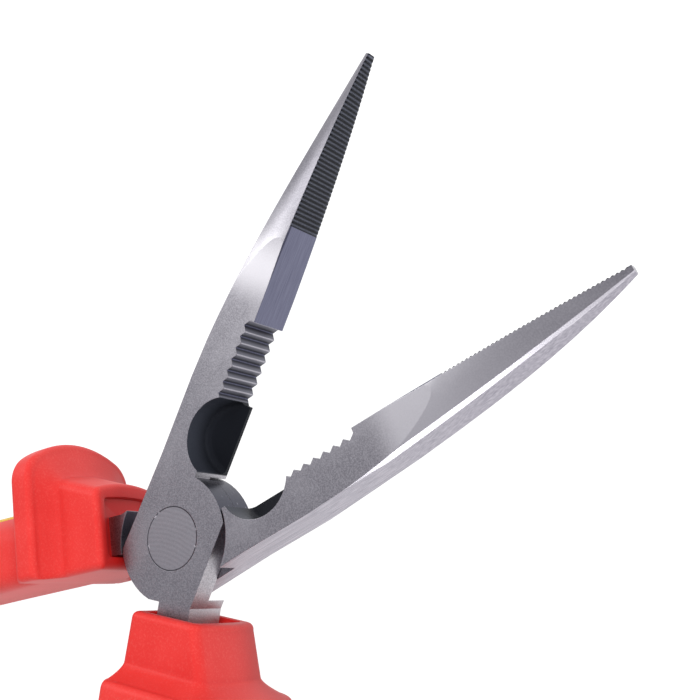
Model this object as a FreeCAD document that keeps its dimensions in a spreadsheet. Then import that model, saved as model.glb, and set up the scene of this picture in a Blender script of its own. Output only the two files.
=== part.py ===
"""Insulated long-nose pliers: two lapped levers, a flush rivet and two guarded grips.

Every piece is drawn with the jaws shut and then turned about the rivet to the rest
opening.  Z is the rivet axis, z = 0 is the rear face of the head, the nose runs along
+Y.  In the working frame of a lever, "n" is measured away from the grip plane and "z"
from the middle of the head; in the frame of a handle, "s" runs down the handle from
the rivet and "palm" points to the palm side.
"""
import FreeCAD, Part
import math
import os
import re

import Sketcher

ORIGIN = -1
X_AXIS = -1
START = 1
END = 2
CENTRE = 3

V = FreeCAD.Vector

DRIVING = [
    # overall
    ("nose_length", 87.0, "rivet axis to jaw tip"),
    ("head_thickness", 8.2, "thickness of the head over both laps"),
    ("opening", 40.26, "angle between the grip planes at rest, degrees"),
    ("handle_length", 122.0, "rivet axis to the handle end, along the handle"),
    ("handle_splay", 15.5, "angle of the straight handle to the nose axis, degrees"),
    ("bend_s", 57.0, "rivet axis to the start of the inward bend of the handle"),
    ("handle_bend_r", 140.0, "radius of the inward bend of the handle"),
    # head and laps
    ("head_outer", 9.1, "rivet axis to the jaw side of the head"),
    ("head_inner", 8.7, "rivet axis to the handle side of the head"),
    ("boss_proud", 1.82, "how far the round head stands out past the jaw side"),
    ("shoulder_gap", 0.31, "round head of one lever to the shoulder of the other"),
    ("lap_gap", 0.1, "between the two laps"),
    ("grip_gap", 0.1, "each jaw to the grip plane when shut"),
    ("edge_break", 0.25, "broken edge along the grip faces"),
    # rivet
    ("rivet_head_r", 5.3, "radius of the flush rivet head"),
    ("rivet_head_depth", 2.38, "depth of the rivet head"),
    ("rivet_shoulder", 1.8, "step from the rivet head to its shank"),
    ("rivet_flare", 0.95, "how much the spread tail is wider than the shank"),
    ("rivet_tail_depth", 1.15, "depth of the spread tail"),
    ("running_fit", 0.05, "radial clearance of the front lever on the rivet"),
    # side of the jaw
    ("jaw_waist_y", 12.0, "rivet axis to the waist behind the cutter"),
    ("waist_inset", 0.59, "side of the waist inside the side of the head"),
    ("jaw_shank_y", 26.1, "rivet axis to the end of the parallel shank"),
    ("shank_inset", 0.64, "side of the shank inside the side of the head"),
    ("taper_inset", 3.18, "side of the tip blank inside the side of the head"),
    # wire cutter
    ("cutter_r", 6.9, "radius of the round relief"),
    ("cutter_wall", 0.78, "round head to the edge of the relief"),
    ("cutter_x", 1.9, "centre of the relief beyond the grip plane"),
    ("cutter_land", 0.66, "rear face of the lever to the cutting edge"),
    ("cutter_slope", 24.0, "slope of the floor of the relief, degrees"),
    ("cutter_root_r", 1.17, "soft root between floor and wall of the relief"),
    # pipe grip
    ("pipe_recess", 0.98, "depth of the pipe grip behind the jaw face"),
    ("pipe_count", 7, "number of coarse grooves"),
    ("pipe_pitch", 2.01, "spacing of the coarse grooves"),
    ("pipe_depth", 0.8, "depth of a coarse groove"),
    ("pipe_lead", 0.44, "overlap of the lowest coarse groove with the cutter"),
    # fine grip
    ("flat_length", 17.0, "flat of the jaw between coarse and fine teeth"),
    ("fine_pitch", 0.75, "spacing of the fine teeth"),
    ("fine_depth", 0.315, "depth of the fine teeth"),
    # tang inside the grip
    ("tang_inside", 0.6, "handle axis to the inner face of the tang"),
    ("tang_palm", 6.09, "handle axis to the palm face of the tang"),
    ("tang_cover", 24.4, "end of the tang to the end of the grip"),
    # insulating sleeve
    ("sleeve_wall", 1.5, "wall of the sleeve round the tang"),
    ("sleeve_end", 2.4, "end wall of the sleeve past the tang"),
    ("sleeve_inset", 1.8, "floor of the collar mouth to the start of the sleeve"),
    # collar
    ("collar_gap", 1.31, "round head to the collar"),
    ("collar_length", 8.3, "collar rim to the neck"),
    ("collar_cheek", 2.56, "cheek of the collar over the sleeve"),
    ("collar_back", 4.73, "palm wall of the collar over the sleeve"),
    ("collar_round", 1.14, "soft rim of the collar"),
    ("collar_bulge", 26.2, "radius of the flattened palm side of the collar"),
    ("collar_corner", 2.1, "palm corners of the collar"),
    ("mouth_depth", 1.22, "depth of the recess in the collar rim"),
    ("mouth_side", 0.44, "sleeve to the cheek of the recess"),
    ("mouth_back", 2.0, "sleeve to the palm side of the recess"),
    # neck and guard
    ("neck_rise", 2.77, "palm side of the neck over the collar"),
    ("neck_side", 0.16, "cheek of the neck over the collar"),
    ("flare_length", 2.56, "length of the flare from neck to guard"),
    ("guard_width", 4.8, "width of the guard along the handle"),
    ("guard_rise", 10.02, "palm side of the guard over the grip"),
    ("guard_side", 3.36, "cheek of the guard over the grip"),
    ("guard_round", 1.28, "soft rim of the guard"),
    ("guard_corner", 5.4, "palm corners of the guard"),
    # grip and inlay
    ("grip_inside", 3.0, "handle axis to the inner face of the grip"),
    ("grip_palm", 11.85, "handle axis to the palm face of the grip"),
    ("grip_half_depth", 9.6, "half of the grip measured along the rivet axis"),
    ("heel_round", 3.5, "soft rim at the end of the grip"),
    ("inlay_depth", 1.5, "thickness of the inlay"),
    ("inlay_half", 5.38, "half width of the inlay"),
    ("inlay_margin", 1.07, "guard to the start of the inlay"),
    ("inlay_cover", 17.1, "end of the inlay to the end of the grip"),
]

DERIVED = [
    # head and rivet
    ("half", "head_thickness / 2"),
    ("boss_r", "head_outer + boss_proud"),
    ("shoulder_r", "boss_r + shoulder_gap"),
    ("rivet_shank_r", "rivet_head_r - rivet_shoulder"),
    ("rivet_tail_r", "rivet_shank_r + rivet_flare"),
    # jaw
    ("jaw_waist", "head_outer - waist_inset"),
    ("jaw_shank", "head_outer - shank_inset"),
    ("jaw_taper", "head_outer - taper_inset"),
    ("cutter_y", "boss_r + cutter_wall + cutter_r"),
    ("cutter_edge_z", "half - cutter_land"),
    ("cutter_top_y", "cutter_y + sqrt( cutter_r ^ 2 - ( cutter_x + pipe_recess ) ^ 2 )"),
    ("pipe_y", "cutter_top_y + pipe_count * pipe_pitch - pipe_lead"),
    ("fine_y", "pipe_y + flat_length"),
    # tang and sleeve
    ("tang_length", "handle_length - tang_cover"),
    ("sleeve_inside", "tang_inside + sleeve_wall"),
    ("sleeve_palm", "tang_palm + sleeve_wall"),
    ("sleeve_half", "half + sleeve_wall"),
    ("sleeve_length", "tang_length + sleeve_end"),
    # collar and its mouth
    ("collar_s", "boss_r + collar_gap"),
    ("collar_palm", "sleeve_palm + collar_back"),
    ("collar_half", "sleeve_half + collar_cheek"),
    ("mouth_palm", "sleeve_palm + mouth_back"),
    ("mouth_half", "sleeve_half + mouth_side"),
    ("mouth_inside", "tang_inside * 1.5"),
    ("sleeve_s", "collar_s + mouth_depth + sleeve_inset"),
    # neck, guard and inlay
    ("neck_s", "collar_s + collar_length"),
    ("neck_palm", "collar_palm + neck_rise"),
    ("neck_half", "collar_half + neck_side"),
    ("guard_s", "neck_s + flare_length"),
    ("guard_palm", "grip_palm + guard_rise"),
    ("guard_half", "grip_half_depth + guard_side"),
    ("guard_bulge", "guard_palm * 0.93"),
    ("inlay_s", "guard_s + guard_width + inlay_margin"),
    ("inlay_end_s", "handle_length - inlay_cover"),
]

# Jaw sections: distance along the nose, half width and half thickness, and whether
# the section belongs to the flat shank or to the tapered nose.
NOSE_SECTIONS = [
    ("root", "nose_length * 0.29", "head_outer * 1.03", "half * 1.14", "shank"),
    ("flat", "nose_length * 0.529", "head_outer * 0.83", "half * 1.05", "shank"),
    ("middle", "nose_length * 0.793", "head_outer * 0.56", "half * 0.755", "taper"),
    ("tip", "nose_length", "head_outer * 0.148", "half * 0.228", "taper"),
]

# Corners of a jaw section as shares of its half width and half thickness.
NOSE_CORNERS = {
    "shank": [(0.885, 0.93), (0.975, 0.76), (0.98, 0.28), (1.0, -0.66), (0.88, -0.9)],
    "taper": [(0.745, 0.71), (0.84, 0.52), (0.86, 0.36), (1.0, -0.64), (0.85, -0.82)],
}

# Grip sections: distance along the handle, inner face, palm face, half depth and the
# radius of the inner edges, which soften towards the heel.
GRIP_SECTIONS = [
    ("start", "guard_s + guard_width / 2", 0.95, 0.97, 0.97, 0.32),
    ("waist", "handle_length * 0.36", 1.0, 0.98, 0.97, 0.4),
    ("swell", "handle_length * 0.66", 1.08, 1.06, 1.0, 0.52),
    ("heel", "handle_length * 0.9", 0.7, 0.95, 0.94, 0.62),
    ("end", "handle_length", 0.35, 0.84, 0.86, 0.62),
]


def make_sheet(doc):
    """Write the driving sizes and everything that follows from them."""
    sheet = doc.addObject("Spreadsheet::Sheet", "sizes")
    row = 1
    for alias, value, note in DRIVING:
        sheet.set("A%d" % row, alias)
        sheet.set("B%d" % row, str(value))
        sheet.set("C%d" % row, note)
        sheet.setAlias("B%d" % row, alias)
        row += 1
    doc.recompute()
    derived = doc.addObject("App::VarSet", "derived")
    for alias, formula in DERIVED:
        derived.addProperty("App::PropertyFloat", alias)
        bind(derived, alias, formula)
        doc.recompute()
    return sheet


def cells(formula):
    """Name the home of every size in a formula so that an expression can use it."""
    homes = {entry[0]: "sizes." for entry in DRIVING}
    homes.update({entry[0]: "derived." for entry in DERIVED})
    return re.sub(r"[a-z]\w*", lambda m: homes.get(m.group(), "") + m.group(), formula)


def evaluate(doc, formula):
    """Value of a formula, read from the sheet."""
    result = doc.getObject("sizes").evalExpression(cells(formula))
    return float(getattr(result, "Value", result))


def bind(obj, prop, formula):
    """Tie a property to the sheet."""
    obj.setExpression(prop, cells(formula))


class Outline:
    """A closed sketch whose sizes are tied to the sheet."""

    def __init__(self, doc, name, body=None, placement=None):
        self.doc = doc
        if body is None:
            self.sketch = doc.addObject("Sketcher::SketchObject", name)
        else:
            self.sketch = body.newObject("Sketcher::SketchObject", name)
            self.sketch.AttachmentSupport = [(plane_of(body, "XY_Plane"), "")]
            self.sketch.MapMode = "FlatFace"
        if placement is not None:
            if body is None:
                self.sketch.Placement = placement
            else:
                self.sketch.AttachmentOffset = placement

    def tie(self, kind, where, formula):
        """Add one dimension; a negative one is measured the other way round."""
        value = evaluate(self.doc, formula)
        if value < 0 and kind in ("DistanceX", "DistanceY"):
            start = where[:2]
            where = where[2:] + start
            formula = "-1 * ( " + formula + " )"
            value = -value
        index = self.sketch.addConstraint(Sketcher.Constraint(kind, *where, value))
        self.sketch.setExpression("Constraints[%d]" % index, cells(formula))

    def place(self, geo, pos, along, across):
        """Fix one point of the outline at a pair of sheet formulas."""
        for kind, formula in (("DistanceX", along), ("DistanceY", across)):
            if evaluate(self.doc, formula) == 0:
                axis = -2 if kind == "DistanceX" else X_AXIS
                self.sketch.addConstraint(Sketcher.Constraint("PointOnObject", geo, pos, axis))
            else:
                self.tie(kind, (ORIGIN, START, geo, pos), formula)

    def chain(self, corners):
        """Closed run of straight and curved sides through formula points.

        Each corner is (along, across, arc): arc None starts a straight side, otherwise
        the formula of a radius, negative for a side that turns clockwise.
        """
        points = [V(evaluate(self.doc, c[0]), evaluate(self.doc, c[1]), 0) for c in corners]
        count = len(corners)
        ends = []
        for i in range(count):
            a, b = points[i], points[(i + 1) % count]
            radius = corners[i][2]
            if radius is None:
                geo = self.sketch.addGeometry(Part.LineSegment(a, b), False)
                ends.append((geo, START, END))
                continue
            value = evaluate(self.doc, radius)
            arc = arc_between(a, b, value)
            geo = self.sketch.addGeometry(arc, False)
            forward = value > 0
            ends.append((geo, START if forward else END, END if forward else START))
        for i in range(count):
            this, following = ends[i], ends[(i + 1) % count]
            self.sketch.addConstraint(Sketcher.Constraint(
                "Coincident", this[0], this[2], following[0], following[1]))
        for i in range(count):
            self.place(ends[i][0], ends[i][1], corners[i][0], corners[i][1])
            if corners[i][2] is not None:
                radius = corners[i][2]
                if evaluate(self.doc, radius) < 0:
                    radius = "-1 * ( " + radius + " )"
                self.tie("Radius", (ends[i][0],), radius)
        return self.sketch


def arc_between(a, b, radius):
    """Arc from a to b; a positive radius turns anticlockwise."""
    chord = b - a
    middle = (a + b) * 0.5
    size = abs(radius)
    lift = math.sqrt(max(size * size - chord.Length * chord.Length / 4, 0.0))
    side = V(-chord.y, chord.x, 0)
    side.normalize()
    turn = 1 if radius > 0 else -1
    centre = middle + side * (turn * lift)
    circle = Part.Circle(centre, V(0, 0, 1), size)
    first, last = (a, b) if radius > 0 else (b, a)
    return Part.ArcOfCircle(circle, angle_of(first - centre), angle_of(last - centre))


def angle_of(vector):
    """Direction of a vector in the sketch plane."""
    return math.atan2(vector.y, vector.x)


def plane_of(body, role):
    """Origin plane of a body."""
    return [f for f in body.Origin.OriginFeatures if f.Role == role][0]


def combine(doc, kind, name, *shapes):
    """Cut, common or fuse."""
    result = doc.addObject(kind, name)
    if kind == "Part::Cut":
        result.Base, result.Tool = shapes
    else:
        result.Shapes = list(shapes)
    return result


def extrude(doc, name, sketch, forward, backward="0"):
    """Solid of a sketch between two distances along its normal."""
    solid = doc.addObject("Part::Extrusion", name)
    solid.Base = sketch
    solid.DirMode = "Normal"
    solid.Solid = True
    bind(solid, "LengthFwd", forward)
    bind(solid, "LengthRev", backward)
    return solid


def loft(doc, name, sketches, ruled=False):
    """Solid through a list of section sketches."""
    solid = doc.addObject("Part::Loft", name)
    solid.Sections = sketches
    solid.Solid = True
    solid.Ruled = ruled
    return solid


def mirror(doc, name, source):
    """The other hand of a piece, about the plane through nose and rivet."""
    twin = doc.addObject("Part::Mirroring", name)
    twin.Source = source
    twin.Normal = V(1, 0, 0)
    return twin


def cylinder(doc, name, radius, bottom, top):
    """Round cutter or boss on the rivet axis."""
    solid = doc.addObject("Part::Cylinder", name)
    bind(solid, "Radius", radius)
    bind(solid, "Height", top + " - ( " + bottom + " )")
    bind(solid, "Placement.Base.z", bottom)
    return solid


# ---------------------------------------------------------------- lever


def head_outline(doc, body):
    """Jaw and round head, seen from the front with the jaws shut."""
    inner_y = "sqrt( boss_r ^ 2 - head_inner ^ 2 )"
    outer_y = "sqrt( boss_r ^ 2 - head_outer ^ 2 )"
    heel_y = ("( tang_palm * sin( handle_splay * 1deg ) - ( head_inner - tang_palm *"
              " cos( handle_splay * 1deg ) ) / tan( handle_splay * 1deg ) )")
    corners = [
        ("-1 * grip_gap", "nose_length", None),
        ("-1 * grip_gap", "sqrt( boss_r ^ 2 - grip_gap ^ 2 )", "-1 * boss_r"),
        ("head_inner", inner_y, None),
        ("head_inner", heel_y, None),
        ("0 * boss_r", "-1 * boss_r", "-1 * boss_r"),
        ("-1 * head_outer", "-1 * " + outer_y, None),
        ("-1 * jaw_waist", "jaw_waist_y", None),
        ("-1 * jaw_shank", "jaw_shank_y", None),
        ("-1 * jaw_taper", "nose_length", None),
    ]
    return Outline(doc, "head_outline", body).chain(corners)


def handle_turn(doc):
    """Turn that carries the sketch axes onto the handle: s, then palm."""
    splay = evaluate(doc, "handle_splay")
    return FreeCAD.Placement(V(0, 0, 0), FreeCAD.Rotation(V(0, 0, 1), splay - 90))


def strip_corners(start, end, inside, palm):
    """Outline of a strip that follows the handle: straight, then bent inward."""
    sweep = "( ( " + end + " - bend_s ) / handle_bend_r * 1rad )"
    corners = []
    for offset, forward in ((palm, True), ("-1 * ( " + inside + " )", False)):
        radius = "( handle_bend_r + " + offset + " )"
        far = ("bend_s + " + radius + " * sin( " + sweep + " )",
               radius + " * cos( " + sweep + " ) - handle_bend_r")
        if forward:
            corners.append((start, offset, None))
            corners.append(("bend_s", offset, "-1 * " + radius))
            corners.append(far + (None,))
        else:
            corners.append(far + (radius,))
            corners.append(("bend_s", offset, None))
            corners.append((start, offset, None))
    return corners


def groove_outline(doc, body, name, distance, pitch, depth, base):
    """One V groove cut into the grip plane."""
    corners = [
        (base, distance + " + " + pitch + " / 2", None),
        (base + " - " + depth, distance, None),
        (base, distance + " - " + pitch + " / 2", None),
        ("grip_gap", distance + " - " + pitch + " / 2", None),
        ("grip_gap", distance + " + " + pitch + " / 2", None),
    ]
    return Outline(doc, name, body).chain(corners)


def through_pocket(body, name, sketch):
    """Cut a sketch right through the thickness of a lever."""
    pocket = body.newObject("PartDesign::Pocket", name)
    pocket.Profile = sketch
    pocket.Type = 1
    pocket.Midplane = True
    return pocket


def row_of(doc, body, name, feature, sketch, pitch, count):
    """Repeat a groove along the jaw."""
    pattern = body.newObject("PartDesign::LinearPattern", name)
    pattern.Originals = [feature]
    pattern.Direction = (sketch, ["V_Axis"])
    pattern.Occurrences = int(evaluate(doc, count))
    bind(pattern, "Length", pitch + " * ( " + str(pattern.Occurrences) + " - 1 )")
    body.Tip = pattern
    return pattern


def plate_body(doc):
    """Jaw, head and tang as one plate, with both rows of grip teeth."""
    body = doc.addObject("PartDesign::Body", "plate")
    head = body.newObject("PartDesign::Pad", "head_pad")
    head.Profile = head_outline(doc, body)
    head.Midplane = True
    bind(head, "Length", "head_thickness")
    doc.recompute()

    tang_sketch = Outline(doc, "tang_outline", body, handle_turn(doc)).chain(
        strip_corners("boss_r * 0.5", "tang_length", "tang_inside", "tang_palm"))
    tang = body.newObject("PartDesign::Pad", "tang_pad")
    tang.Profile = tang_sketch
    tang.Midplane = True
    bind(tang, "Length", "head_thickness")
    doc.recompute()

    recess_corners = [
        ("grip_gap", "pipe_y", None),
        ("-1 * pipe_recess", "pipe_y", None),
        ("-1 * pipe_recess", "cutter_top_y", None),
        ("grip_gap", "cutter_top_y", None),
    ]
    through_pocket(body, "pipe_cut", Outline(doc, "pipe_recess_outline", body)
                   .chain(recess_corners))
    doc.recompute()

    first_pipe = "pipe_y - pipe_pitch * ( pipe_count - 0.5 )"
    pipe_sketch = groove_outline(doc, body, "pipe_groove", first_pipe, "pipe_pitch",
                                 "pipe_depth", "-1 * pipe_recess")
    pipe = through_pocket(body, "pipe_groove_cut", pipe_sketch)
    doc.recompute()
    row_of(doc, body, "pipe_row", pipe, pipe_sketch, "pipe_pitch", "pipe_count")
    doc.recompute()

    first_fine = "fine_y + fine_pitch / 2"
    fine_sketch = groove_outline(doc, body, "fine_groove", first_fine, "fine_pitch",
                                 "fine_depth", "-1 * grip_gap")
    fine = through_pocket(body, "fine_groove_cut", fine_sketch)
    doc.recompute()
    row_of(doc, body, "fine_row", fine, fine_sketch, "fine_pitch",
           "floor( ( nose_length - fine_y ) / fine_pitch )")
    doc.recompute()
    return body


def nose_section(doc, name, distance, width, thick, family):
    """Section of a jaw: crowned face, bevelled edge and drafted side."""
    standing = FreeCAD.Placement(V(0, evaluate(doc, distance), 0),
                                 FreeCAD.Rotation(V(-1, 0, 0), V(0, 0, 1), V(0, 1, 0), "XYZ"))
    spare = "edge_break * 0.8"
    inside = "-1 * " + spare
    lip = "grip_gap + edge_break"
    drop = "( " + thick + " - edge_break - " + spare + " - grip_gap )"
    corners = [
        (inside, drop, None),
        (lip, thick, "-1 * ( " + width + " ) * 2.6"),
    ]
    for share_w, share_z in NOSE_CORNERS[family]:
        corners.append(("( %s ) * %s" % (width, share_w),
                        "( %s ) * %s" % (thick, share_z), None))
    corners.append((lip, "-1 * ( " + thick + " )", None))
    corners.append((inside, "-1 * " + drop, None))
    outline = Outline(doc, "nose_" + name, None, standing)
    sketch = outline.chain(corners)
    bind(sketch, "Placement.Base.y", distance)
    return sketch


def nose_envelope(doc):
    """Solid that shapes the taper of one jaw and leaves head and tang alone."""
    sections = [nose_section(doc, *entry) for entry in NOSE_SECTIONS]
    doc.recompute()
    horn = loft(doc, "nose_horn", sections)
    keep = doc.addObject("Part::Box", "head_keep")
    reach = "( handle_length * 3 )"
    bind(keep, "Length", reach)
    bind(keep, "Width", reach)
    bind(keep, "Height", "head_thickness * 2")
    bind(keep, "Placement.Base.x", "-1 * " + reach + " / 2")
    bind(keep, "Placement.Base.y", NOSE_SECTIONS[0][1] + " - " + reach)
    bind(keep, "Placement.Base.z", "-1 * head_thickness")
    envelope = combine(doc, "Part::MultiFuse", "envelope", horn, keep)
    doc.recompute()
    return envelope


def cutter_pocket(doc):
    """Round relief of the wire cutter: upright wall, sloping floor, soft root."""
    drum = cylinder(doc, "cutter_drum", "cutter_r", "-1 * head_thickness", "head_thickness")
    bind(drum, "Placement.Base.x", "cutter_x")
    bind(drum, "Placement.Base.y", "cutter_y")
    fall = "( cutter_r * 2 * tan( cutter_slope * 1deg ) )"
    upright = FreeCAD.Placement(V(0, 0, 0),
                                FreeCAD.Rotation(V(-1, 0, 0), V(0, 0, 1), V(0, 1, 0), "XYZ"))
    corners = [
        ("-2 * cutter_r", "-1 * cutter_edge_z - " + fall, None),
        ("-2 * cutter_r", "half * 1.5", None),
        ("2 * cutter_r", "half * 1.5", None),
        ("2 * cutter_r", "-1 * cutter_edge_z + " + fall, None),
    ]
    wedge_sketch = Outline(doc, "cutter_floor", None, upright).chain(corners)
    wedge = extrude(doc, "cutter_wedge", wedge_sketch, "nose_length")
    doc.recompute()
    rough = combine(doc, "Part::MultiCommon", "cutter_rough", drum, wedge)
    doc.recompute()
    root = [i + 1 for i, edge in enumerate(rough.Shape.Edges)
            if edge.BoundBox.ZLength > evaluate(doc, "cutter_r / 2")
            and edge.BoundBox.XLength > evaluate(doc, "cutter_r")]
    soft = doc.addObject("Part::Fillet", "cutter_relief")
    soft.Base = rough
    radius = evaluate(doc, "cutter_root_r")
    soft.Edges = [(index, radius, radius) for index in root]
    doc.recompute()
    return soft


def rivet_profile(doc, name, fit, overshoot):
    """Half profile of the rivet, or with a fit and overshoot of its bore."""
    grow = " + " + fit
    corners = [
        ("0", "half + " + overshoot, None),
        ("0", "-1 * half - " + overshoot, None),
        ("rivet_tail_r" + grow + " + " + overshoot, "-1 * half - " + overshoot, None),
        ("rivet_shank_r" + grow, "-1 * half + rivet_tail_depth", None),
        ("rivet_shank_r" + grow, "half - rivet_head_depth - ( " + fit + " )", None),
        ("rivet_head_r" + grow, "half - rivet_head_depth - ( " + fit + " )", None),
        ("rivet_head_r" + grow, "half + " + overshoot, None),
    ]
    upright = FreeCAD.Placement(V(0, 0, 0), FreeCAD.Rotation(V(1, 0, 0), 90))
    return Outline(doc, name, None, upright).chain(corners)


def turned(doc, name, sketch):
    """Solid of revolution about the rivet axis."""
    solid = doc.addObject("Part::Revolution", name)
    solid.Source = sketch
    solid.Axis = V(0, 0, 1)
    solid.Base = V(0, 0, 0)
    solid.Angle = 360
    solid.Solid = True
    return solid


def levers(doc):
    """The front and the rear lever, cut to their laps and bored for the rivet."""
    shaped = combine(doc, "Part::MultiCommon", "shaped", plate_body(doc), nose_envelope(doc))
    doc.recompute()
    blank = combine(doc, "Part::Cut", "blank", shaped, cutter_pocket(doc))
    doc.recompute()
    twin = mirror(doc, "blank_twin", blank)
    doc.recompute()

    below = cylinder(doc, "lap_below", "shoulder_r", "-1 * head_thickness", "lap_gap / 2")
    above = cylinder(doc, "lap_above", "shoulder_r", "-1 * lap_gap / 2", "head_thickness")
    loose = turned(doc, "loose_bore",
                   rivet_profile(doc, "loose_profile", "running_fit", "half"))
    snug = turned(doc, "snug_bore", rivet_profile(doc, "snug_profile", "0 * half", "0 * half"))
    doc.recompute()

    front_lap = combine(doc, "Part::Cut", "front_lap", blank, below)
    rear_lap = combine(doc, "Part::Cut", "rear_lap", twin, above)
    doc.recompute()
    front = combine(doc, "Part::Cut", "lever_front", front_lap, loose)
    rear = combine(doc, "Part::Cut", "lever_rear", rear_lap, snug)
    doc.recompute()
    return front, rear


def pivot_rivet(doc):
    """Flush rivet with a shallow chamfer round its face."""
    rivet = turned(doc, "pivot_rivet",
                   rivet_profile(doc, "rivet_outline", "0 * half", "0 * half"))
    doc.recompute()
    return rivet


# ---------------------------------------------------------------- grip


def station(doc, distance):
    """Frame across the handle: x to the palm side, y along the rivet axis."""
    bend_s = evaluate(doc, "bend_s")
    radius = evaluate(doc, "handle_bend_r")
    beyond = max(evaluate(doc, distance) - bend_s, 0.0)
    straight = min(evaluate(doc, distance), bend_s)
    angle = beyond / radius
    base = V(straight + radius * math.sin(angle), -radius * (1 - math.cos(angle)), 0)
    along = V(math.cos(angle), -math.sin(angle), 0)
    palm = V(math.sin(angle), math.cos(angle), 0)
    across = FreeCAD.Placement(base, FreeCAD.Rotation(palm, V(0, 0, 1), along, "XYZ"))
    return handle_turn(doc).multiply(across)


def grip_section(doc, name, distance, inside, palm, half_depth, corner, crease, bulge):
    """Section of a grip: flat inner face, flat cheeks and a palm side of radius bulge.

    The palm corners have the radius "corner", the two inner edges the radius "crease".
    A size may be a sum, so each one is bracketed before it goes into a longer formula.
    """
    sizes = (inside, palm, half_depth, corner, crease, bulge)
    inside, palm, half_depth, corner, crease, bulge = ["( %s )" % size for size in sizes]
    outline = Outline(doc, name, None, station(doc, distance))
    reach = evaluate(doc, inside)
    top = evaluate(doc, half_depth)
    radius = evaluate(doc, corner)
    edge = evaluate(doc, crease)
    bulge_r = evaluate(doc, bulge)
    middle = evaluate(doc, palm) - bulge_r
    spread = math.sqrt((bulge_r - radius) ** 2 - (top - radius) ** 2)
    corner_x = middle + spread
    lean = math.atan2(top - radius, spread)
    quarter = math.pi / 2

    def arc(x, y, size, first, last):
        """Arc of the section."""
        circle = Part.Circle(V(x, y, 0), V(0, 0, 1), size)
        return Part.ArcOfCircle(circle, first, last)

    sides = [
        arc(middle, 0, bulge_r, -lean, lean),
        arc(corner_x, top - radius, radius, lean, quarter),
        Part.LineSegment(V(corner_x, top, 0), V(edge - reach, top, 0)),
        arc(edge - reach, top - edge, edge, quarter, 2 * quarter),
        Part.LineSegment(V(-reach, top - edge, 0), V(-reach, edge - top, 0)),
        arc(edge - reach, edge - top, edge, 2 * quarter, 3 * quarter),
        Part.LineSegment(V(edge - reach, -top, 0), V(corner_x, -top, 0)),
        arc(corner_x, radius - top, radius, -quarter, -lean),
    ]
    sketch = outline.sketch
    for side in sides:
        sketch.addGeometry(side, False)
    count = len(sides)
    for i in range(count):
        sketch.addConstraint(Sketcher.Constraint("Tangent", i, END, (i + 1) % count, START))
    for flat, kind in ((2, "Horizontal"), (6, "Horizontal"), (4, "Vertical")):
        sketch.addConstraint(Sketcher.Constraint(kind, flat))
    sketch.addConstraint(Sketcher.Constraint("PointOnObject", 0, CENTRE, X_AXIS))
    for i, size in ((1, corner), (7, corner), (3, crease), (5, crease)):
        outline.tie("Radius", (i,), size)
    outline.tie("Radius", (0,), bulge)
    outline.tie("DistanceX", (ORIGIN, START, 0, CENTRE), palm + " - " + bulge)
    outline.tie("DistanceX", (4, START, ORIGIN, START), inside)
    outline.tie("DistanceY", (ORIGIN, START, 2, START), half_depth)
    outline.tie("DistanceY", (6, START, ORIGIN, START), half_depth)
    return sketch


def grip_loft(doc, name, inset):
    """Body of the grip behind the guard, or with an inset the pocket under the inlay.

    The inner edges take at most 0.85 of the cheek left by the palm corners.
    """
    sections = []
    for label, distance, inside, palm, depth, crease in GRIP_SECTIONS:
        reach = "grip_palm * %s - %s" % (palm, inset)
        inner = "grip_inside * %s - %s * 0.5" % (inside, inset)
        half_depth = "grip_half_depth * %s - %s" % (depth, inset)
        corner = "grip_half_depth * %s * 0.62 - %s * 0.5" % (depth, inset)
        bulge = "( " + reach + " ) * 0.93"
        wanted = "grip_half_depth * %s * %s - %s * 0.5" % (depth, crease, inset)
        lean = "sqrt( ( %s - ( %s ) ) ^ 2 - ( ( %s ) - ( %s ) ) ^ 2 )" % (
            bulge, corner, half_depth, corner)
        cheek = "( ( %s ) * 0.07 + %s + ( %s ) )" % (reach, lean, inner)
        sections.append(grip_section(
            doc, name + "_" + label, distance, inner, reach, half_depth, corner,
            "min( %s ; %s * 0.85 )" % (wanted, cheek), bulge))
    doc.recompute()
    solid = loft(doc, name, sections)
    doc.recompute()
    return solid


def rounded(doc, name, source, radius, chosen):
    """Fillet the edges of a piece that a test picks out."""
    soft = doc.addObject("Part::Fillet", name)
    soft.Base = source
    size = evaluate(doc, radius)
    soft.Edges = [(i + 1, size, size) for i, edge in enumerate(source.Shape.Edges)
                  if chosen(edge)]
    doc.recompute()
    return soft


def quarter_steps(count):
    """Shares of a quarter turn, as (along, across) pairs that run from 0 to 1."""
    turns = [math.pi / 2 * step / count for step in range(count + 1)]
    return [(round(1 - math.cos(turn), 4), round(math.sin(turn), 4)) for turn in turns]


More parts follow.
